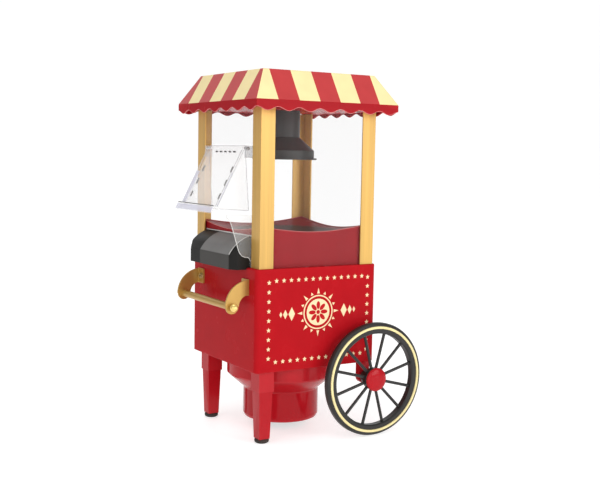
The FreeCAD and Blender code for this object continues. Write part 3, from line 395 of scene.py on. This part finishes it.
def side_print(side, name):
    verts, faces = [], []
    for z in (178.2, 90.9):
        for k in range(13):
            slab(verts, faces, star(-53.0 + 110.0 * k / 12.0, z, 2.75), side, 0.12)
    for y in (-62.0, 65.0):
        for k in range(9):
            slab(verts, faces, star(y, 176.7 - (176.7 - 95.2) * k / 8.0, 2.75), side, 0.12)
    o = mesh_object(name, verts, faces, [STAR])
    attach(o, "cart")
    # centre medallion: disc with a red rosette, beaded ring, rays and lozenges
    verts, faces = [], []
    cy, cz = 0.0, 141.5
    m = 72
    for r0, r1 in ((17.4, 18.8),):
        for i in range(m):
            t0, t1 = 2 * math.pi * i / m, 2 * math.pi * (i + 1) / m
            slab(verts, faces, [(cy + r0 * math.sin(t0), cz + r0 * math.cos(t0)), (cy + r1 * math.sin(t0), cz + r1 * math.cos(t0)),
                                (cy + r1 * math.sin(t1), cz + r1 * math.cos(t1)), (cy + r0 * math.sin(t1), cz + r0 * math.cos(t1))], side, 0.12)
    slab(verts, faces, [(cy + 14.6 * math.sin(2 * math.pi * i / m), cz + 14.6 * math.cos(2 * math.pi * i / m)) for i in range(m)], side, 0.12)
    for i in range(16):
        t = 2 * math.pi * i / 16
        r1 = 26.6 if i % 2 == 0 else 23.6
        w = 0.085
        slab(verts, faces, [(cy + 20.4 * math.sin(t - w), cz + 20.4 * math.cos(t - w)), (cy + r1 * math.sin(t), cz + r1 * math.cos(t)),
                            (cy + 20.4 * math.sin(t + w), cz + 20.4 * math.cos(t + w))], side, 0.12)
    for sy in (-1, 1):
        for d, h in ((33.6, 7.4), (41.6, 5.0), (47.2, 3.2)):
            slab(verts, faces, [(cy + sy * d, cz + h), (cy + sy * (d + h * 0.55), cz), (cy + sy * d, cz - h), (cy + sy * (d - h * 0.55), cz)], side, 0.12)
    o = mesh_object(name + "_medallion", verts, faces, [STAR])
    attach(o, "cart")
    verts, faces = [], []
    for i in range(8):
        t = 2 * math.pi * i / 8
        pet = []
        for k in range(16):
            q = 2 * math.pi * k / 16
            a, r = 2.3 * math.sin(q), 7.6 + 4.4 * math.cos(q)
            pet.append((cy + r * math.sin(t) + a * math.cos(t), cz + r * math.cos(t) - a * math.sin(t)))
        slab(verts, faces, pet, side, 0.20)
    slab(verts, faces, [(cy + 2.3 * math.sin(2 * math.pi * i / 24), cz + 2.3 * math.cos(2 * math.pi * i / 24)) for i in range(24)], side, 0.20)
    o = mesh_object(name + "_rosette", verts, faces, [RED])
    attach(o, "cart")


side_print(1, "star_print_right")
side_print(-1, "star_print_left")


# ------------------------------------------------------------------ cabinet walls with rolled edges and the service opening behind
def cabinet():
    hx, hy, r, t = 77.3, 76.8, 6.0, 2.4
    seg = 10

    def loop(d):
        pts = []
        a, b, q = hx - d, hy - d, r - d
        for sx, sy, t0 in ((1, 1, 0.0), (-1, 1, 0.5), (-1, -1, 1.0), (1, -1, 1.5)):
            for k in range(seg + 1):
                w = (t0 + 0.5 * k / seg) * math.pi
                pts.append((sx * (a - q) + q * math.cos(w), sy * (b - q) + q * math.sin(w)))
            if (sx, sy) == (1, 1):
                pts += [(67.0, b), (-67.0, b)]
        return pts

    o, i = loop(0.0), loop(t)
    n = len(o)
    g = seg + 1                      # the span from o[g] to o[g + 1] is the service opening
    zs = (80.0, 86.0, 185.0, 191.0)
    verts = [(x, y, z) for z in zs for x, y in o] + [(x, y, z) for z in zs for x, y in i]
    A = lambda l, k: l * n + k % n
    B = lambda l, k: (4 + l) * n + k % n
    faces = []
    for l in range(3):
        for k in range(n):
            if l == 1 and k == g:
                continue
            faces.append([A(l, k), A(l, k + 1), A(l + 1, k + 1), A(l + 1, k)])
            faces.append([B(l, k + 1), B(l, k), B(l + 1, k), B(l + 1, k + 1)])
    for k in range(n):
        faces.append([A(3, k), A(3, k + 1), B(3, k + 1), B(3, k)])
        faces.append([A(0, k + 1), A(0, k), B(0, k), B(0, k + 1)])
    faces.append([A(1, g), A(1, g + 1), B(1, g + 1), B(1, g)])
    faces.append([A(2, g + 1), A(2, g), B(2, g), B(2, g + 1)])
    faces.append([A(1, g), B(1, g), B(2, g), A(2, g)])
    faces.append([B(1, g + 1), A(1, g + 1), A(2, g + 1), B(2, g + 1)])
    return verts, faces


kv, kf = cabinet()
walls = mesh_object("cabinet_walls", kv, kf, [RED], smooth=True)
bv = walls.modifiers.new("edge", "BEVEL")
bv.width = 0.9 * MM
bv.segments = 3
bv.limit_method = "ANGLE"
bv.angle_limit = math.radians(40)
wn = walls.modifiers.new("normals", "WEIGHTED_NORMAL")
wn.keep_sharp = True
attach(walls, "cart")
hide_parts("cabinet_shell")


# ------------------------------------------------------------------ moulded beads, bands and slots of the clear pieces, painted highlight lines and painted shade marks
def tubes(name, lines, rad, mat, body, sides=8):
    """Round beads along polylines given in millimetres."""
    verts, faces = [], []
    for line in lines:
        pts = [Vector(p) for p in line]
        m = len(pts)
        base = len(verts)
        for k, p in enumerate(pts):
            d = (pts[min(k + 1, m - 1)] - pts[max(k - 1, 0)]).normalized()
            ref = Vector((1, 0, 0)) if abs(d.x) < 0.8 else Vector((0, 0, 1))
            e1 = d.cross(ref).normalized()
            e2 = d.cross(e1)
            for j in range(sides):
                w = 2 * math.pi * j / sides
                v = p + e1 * (rad * math.cos(w)) + e2 * (rad * math.sin(w))
                verts.append(tuple(v))
        for k in range(m - 1):
            for j in range(sides):
                a, b = base + k * sides + j, base + k * sides + (j + 1) % sides
                faces.append([a, b, b + sides, a + sides])
        faces.append([base + j for j in reversed(range(sides))])
        faces.append([base + (m - 1) * sides + j for j in range(sides)])
    o = mesh_object(name, verts, faces, [mat], smooth=True)
    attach(o, body)
    return o


def bricks(name, boxes, put, mat, body, round_mm=0.25):
    """Small rounded blocks; put maps (a, b, c) ranges into millimetres."""
    verts, faces = [], []
    for a0, a1, b0, b1, c0, c1 in boxes:
        k = len(verts)
        for c in (c0, c1):
            for b in (b0, b1):
                for a in (a0, a1):
                    verts.append(put(a, b, c))
        for f in ((0, 2, 3, 1), (4, 5, 7, 6), (0, 1, 5, 4), (2, 6, 7, 3), (0, 4, 6, 2), (1, 3, 7, 5)):
            faces.append([k + i for i in f])
    o = mesh_object(name, verts, faces, [mat])
    if round_mm > 0:
        q = o.modifiers.new("edge", "BEVEL")
        q.width = round_mm * MM
        q.segments = 2
        q.limit_method = "ANGLE"
    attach(o, body)
    return o


def on_door(x, u, w):
    """A point on the door: u down the plate from the hinge, w inward from its middle."""
    return (x, -73.5 - 0.4571 * u + 0.8894 * w, 317.4 - 0.8894 * u - 0.4571 * w)


DH, DL = 44.3, 70.8
edges = []
for sx in (-1, 1):
    edges.append([on_door(sx * (DH - 4.6), 3.2, -2.0), on_door(sx * (DH - 4.6), DL - 0.4, -2.0)])
    edges.append([on_door(sx * (DH - 0.2), 3.2, -1.9), on_door(sx * (DH - 0.2), DL - 0.4, -1.9)])
    edges.append([on_door(sx * (DH - 0.9), DL - 0.3, 1.2), on_door(sx * (DH - 0.9), DL - 0.3, 3.0), on_door(sx * (DH - 0.9), 57.2, 33.6)])
    edges.append([on_door(sx * (DH - 0.9), 3.6, 1.2), on_door(sx * (DH - 0.9), 56.8, 33.7)])
edges.append([on_door(-DH + 0.4, -2.8, -0.6), on_door(DH - 0.4, -2.8, -0.6)])
tubes("door_edge_beads", edges, 0.26, EDGE, "door")
bricks("door_rim_bands", [(-DH + 0.3, -DH + 8.4, 30.0, DL - 1.0, -2.16, -1.95), (DH - 1.9, DH - 0.3, 30.0, DL - 1.0, -2.16, -1.95)], on_door, RIMBAND, "door", 0.06)
bricks("door_lip_band", [(-DH + 0.3, DH - 0.3, DL + 1.9, DL + 8.2, -6.24, -6.04)], on_door, RIMBAND, "door", 0.06)
# painted shade: a dark line under the door lip and dark pieces in the slots for their shaded walls
tubes("door_lip_line", [[on_door(-DH + 0.5, DL + 0.3, -6.0), on_door(DH - 0.5, DL + 0.3, -6.0)]], 0.42, SLOTDARK, "door")
marks = [(x - 2.3, x + 2.3, 3.5, 5.1, -0.7, 0.7) for x in (-21.0, -10.5, 0.0, 10.5, 21.0)]
for sx in (-1, 1):
    for su in (22.0, 38.0, 54.0):
        marks.append((34.0 * sx - 0.7, 34.0 * sx + 0.7, su + 0.1, su + 6.9, -0.7, 0.7))
bricks("door_slot_shadows", marks, on_door, SLOTDARK, "door", 0.2)

fin = [(-102.2, 247.4), (-102.6, 245.1), (-98.3, 241.4), (-96.1, 236.0), (-94.2, 230.0), (-92.3, 224.0), (-90.3, 218.0), (-88.5, 212.0), (-86.4, 206.9),
       (-83.3, 203.8), (-80.0, 202.4), (-76.4, 202.2), (-74.3, 200.7), (-73.5, 198.0)]
# painted highlights along the guard's edge and the chute's right crease and top edge
tubes("guard_edge_highlight", [[(55.95, y, z) for y, z in fin]], 0.36, PALE_HIGHLIGHT, "cart")
tubes("chute_corner_highlight", [[(46.9, -58.2 - 41.6 * math.cos(q), 184.3 + 41.6 * math.sin(q)) for q in [math.radians(30.0 + 43.0 * k / 14.0) for k in range(15)]]], 0.42, PALE_HIGHLIGHT, "cart")
tubes("chute_top_highlight", [[(-54.0, -70.4, 224.6), (54.0, -70.4, 224.6)]], 0.7, PALE_HIGHLIGHT, "cart")


# painted shade in the handle screw cross recesses
cross = []
for sx in (-1, 1):
    cx = 52.1 * sx
    cross += [(cx - 1.9, cx + 1.9, 170.1, 170.9, -80.26, -80.1), (cx - 0.4, cx + 0.4, 168.6, 172.4, -80.26, -80.1)]
bricks("handle_screw_recesses", cross, lambda a, b, c: (a, c, b), SLOTDARK, "cart", 0.0)


# painted highlight along the funnel's top edges
lips = []
for sd in (-1, 1):
    lips.append([(sd * 70.55, y, 228.12 + 0.245 * (math.hypot(71.0, y) - 69.0)) for y in [-67.5 + 135.0 * k / 40.0 for k in range(41)]])
    lips.append([(x, sd * 68.55, 228.12 + 0.245 * (math.hypot(x, 69.0) - 69.0)) for x in [-69.5 + 139.0 * k / 40.0 for k in range(41)]])
tubes("funnel_edge_highlight", lips, 0.40, PINK_HIGHLIGHT, "cart")

# painted highlight along the lower edge of the roof scallops
scallop_glints = []
for half, out, flip in ((EY, EX - 0.55, False), (EX, EY - 0.55, True)):
    for sd in (-1, 1):
        glint = []
        for k in range(0, 113):
            t = -half + 2.0 * half * k / 112.0
            z = 0.5 * (LOW + HIGH) - 0.5 * (HIGH - LOW) * math.cos(2.0 * math.pi * t / (2.0 * half / 7.0)) + 0.25
            t = max(-half + 0.6, min(half - 0.6, t))
            glint.append((t, sd * out, z) if flip else (sd * out, t, z))
        scallop_glints.append(glint)
tubes("roof_scallop_highlight", scallop_glints, 0.52, PINK_HIGHLIGHT, "cart")


# ------------------------------------------------------------------ turned pieces
def lathe(name, profile, axis, centre, mat, body, seg=96):
    """profile is a list of (radius, height); axis is +1 or -1 for +X or -X, or 0 for +Z."""
    verts, faces = [], []
    n = len(profile)
    for i in range(seg):
        t = 2 * math.pi * i / seg
        for r, h in profile:
            if axis == 0:
                verts.append((centre[0] + r * math.cos(t), centre[1] + r * math.sin(t), centre[2] + h))
            else:
                verts.append((centre[0] + axis * h, centre[1] + r * math.cos(t), centre[2] + r * math.sin(t)))
    for i in range(seg):
        j = (i + 1) % seg
        for k in range(n - 1):
            faces.append([i * n + k, i * n + k + 1, j * n + k + 1, j * n + k])
    o = mesh_object(name, verts, faces, [mat], smooth=True)
    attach(o, body)
    return o


for side, word in ((1, "right"), (-1, "left")):
    prof = [(5.2, 0.0), (12.9, 0.0), (13.2, 0.25), (13.2, 0.9), (12.95, 1.25)]
    for k in range(1, 15):
        t = math.pi * 0.5 * k / 14.0
        prof.append((12.95 * math.cos(t) if k < 14 else 0.0, 1.25 + 3.35 * math.sin(t)))
    o = lathe("hub_dome_" + word, prof, side, (side * 97.2, 65.5, 63.7), RED_GLOSS, "wheel_%s_turn" % word)
    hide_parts("hub_cap_" + word)

# ------------------------------------------------------------------ stage
bm = bmesh.new()
n = 48
rows = []
for j in range(2):
    x = -4.0 if j == 0 else 4.0
    row = []
    for i in range(n + 1):
        u = i / n
        if u < 0.5:
            row.append(bm.verts.new((x * 1.0, -3.0 + 5.0 * (u / 0.5), 0.0)))
        else:
            a = (u - 0.5) / 0.5 * math.pi * 0.5
            row.append(bm.verts.new((x * 1.0, 2.0 + 1.5 * math.sin(a), 1.5 - 1.5 * math.cos(a))))
    top = bm.verts.new((x, 3.5, 4.0))
    row.append(top)
    rows.append(row)
for i in range(len(rows[0]) - 1):
    bm.faces.new((rows[0][i], rows[1][i], rows[1][i + 1], rows[0][i + 1]))
me = bpy.data.meshes.new("floor")
bm.to_mesh(me)
bm.free()
for p in me.polygons:
    p.use_smooth = True
floor = bpy.data.objects.new("floor", me)
bpy.context.scene.collection.objects.link(floor)
floor.rotation_euler = (0, 0, math.radians(58.3))
me.materials.append(material("floor_white", (0.62, 0.62, 0.62), 0.6, var=0.004, scale=3.0, rvar=0.02, bump=0.0))
fp = [q for q in me.materials[0].node_tree.nodes if q.type == "BSDF_PRINCIPLED"][0]
fp.inputs["Emission Color"].default_value = (1, 1, 1, 1)
fp.inputs["Emission Strength"].default_value = 0.62

world = bpy.data.worlds.new("studio")
bpy.context.scene.world = world
world.use_nodes = True
bg = world.node_tree.nodes["Background"]
bg.inputs[0].default_value = (1.0, 1.0, 1.0, 1)
bg.inputs[1].default_value = 0.42


def area(name, loc, target, size, power, color=(1, 1, 1)):
    l = bpy.data.lights.new(name, "AREA")
    l.shape = "RECTANGLE"
    l.size, l.size_y = size
    l.energy = power
    l.color = color
    o = bpy.data.objects.new(name, l)
    bpy.context.scene.collection.objects.link(o)
    o.location = loc
    d = Vector(target) - Vector(loc)
    o.rotation_euler = d.to_track_quat("-Z", "Y").to_euler()
    return o


area("key", (1.35, 0.58, 0.55), (0, 0, 0.24), (0.8, 0.8), 8.2)
area("side_fill", (1.38, -0.40, 0.42), (0, 0, 0.24), (0.9, 0.9), 4.0)
area("front_fill", (0.95, -1.4, 0.50), (0, 0, 0.22), (1.2, 1.0), 4.4)
area("top", (0.15, -0.45, 1.6), (0, 0, 0.2), (0.9, 0.9), 8.0)

# ------------------------------------------------------------------ camera
cam = bpy.data.cameras.new("camera")
co = bpy.data.objects.new("camera", cam)
bpy.context.scene.collection.objects.link(co)
az, el, roll = math.radians(58.32), math.radians(5.65), math.radians(1.05)
back = Vector((math.sin(az) * math.cos(el), -math.cos(az) * math.cos(el), math.sin(el)))
fwd = -back
right = fwd.cross(Vector((0, 0, 1))).normalized()
up = right.cross(fwd)
r2 = right * math.cos(roll) + up * math.sin(roll)
u2 = -right * math.sin(roll) + up * math.cos(roll)
mat = Matrix(((r2.x, u2.x, back.x, 0.9716), (r2.y, u2.y, back.y, (-576.5 + YS) * MM), (r2.z, u2.z, back.z, 0.3126), (0, 0, 0, 1)))
co.matrix_world = mat
cam.sensor_width = 36.0
cam.sensor_fit = "HORIZONTAL"
cam.lens = 986.3 * 36.0 / 600.0
cam.clip_start = 0.02
bpy.context.scene.camera = co
bpy.context.scene.view_settings.view_transform = "Standard"
bpy.context.scene.cycles.transparent_max_bounces = 24      # door, side wings, guard and windows stand one behind another
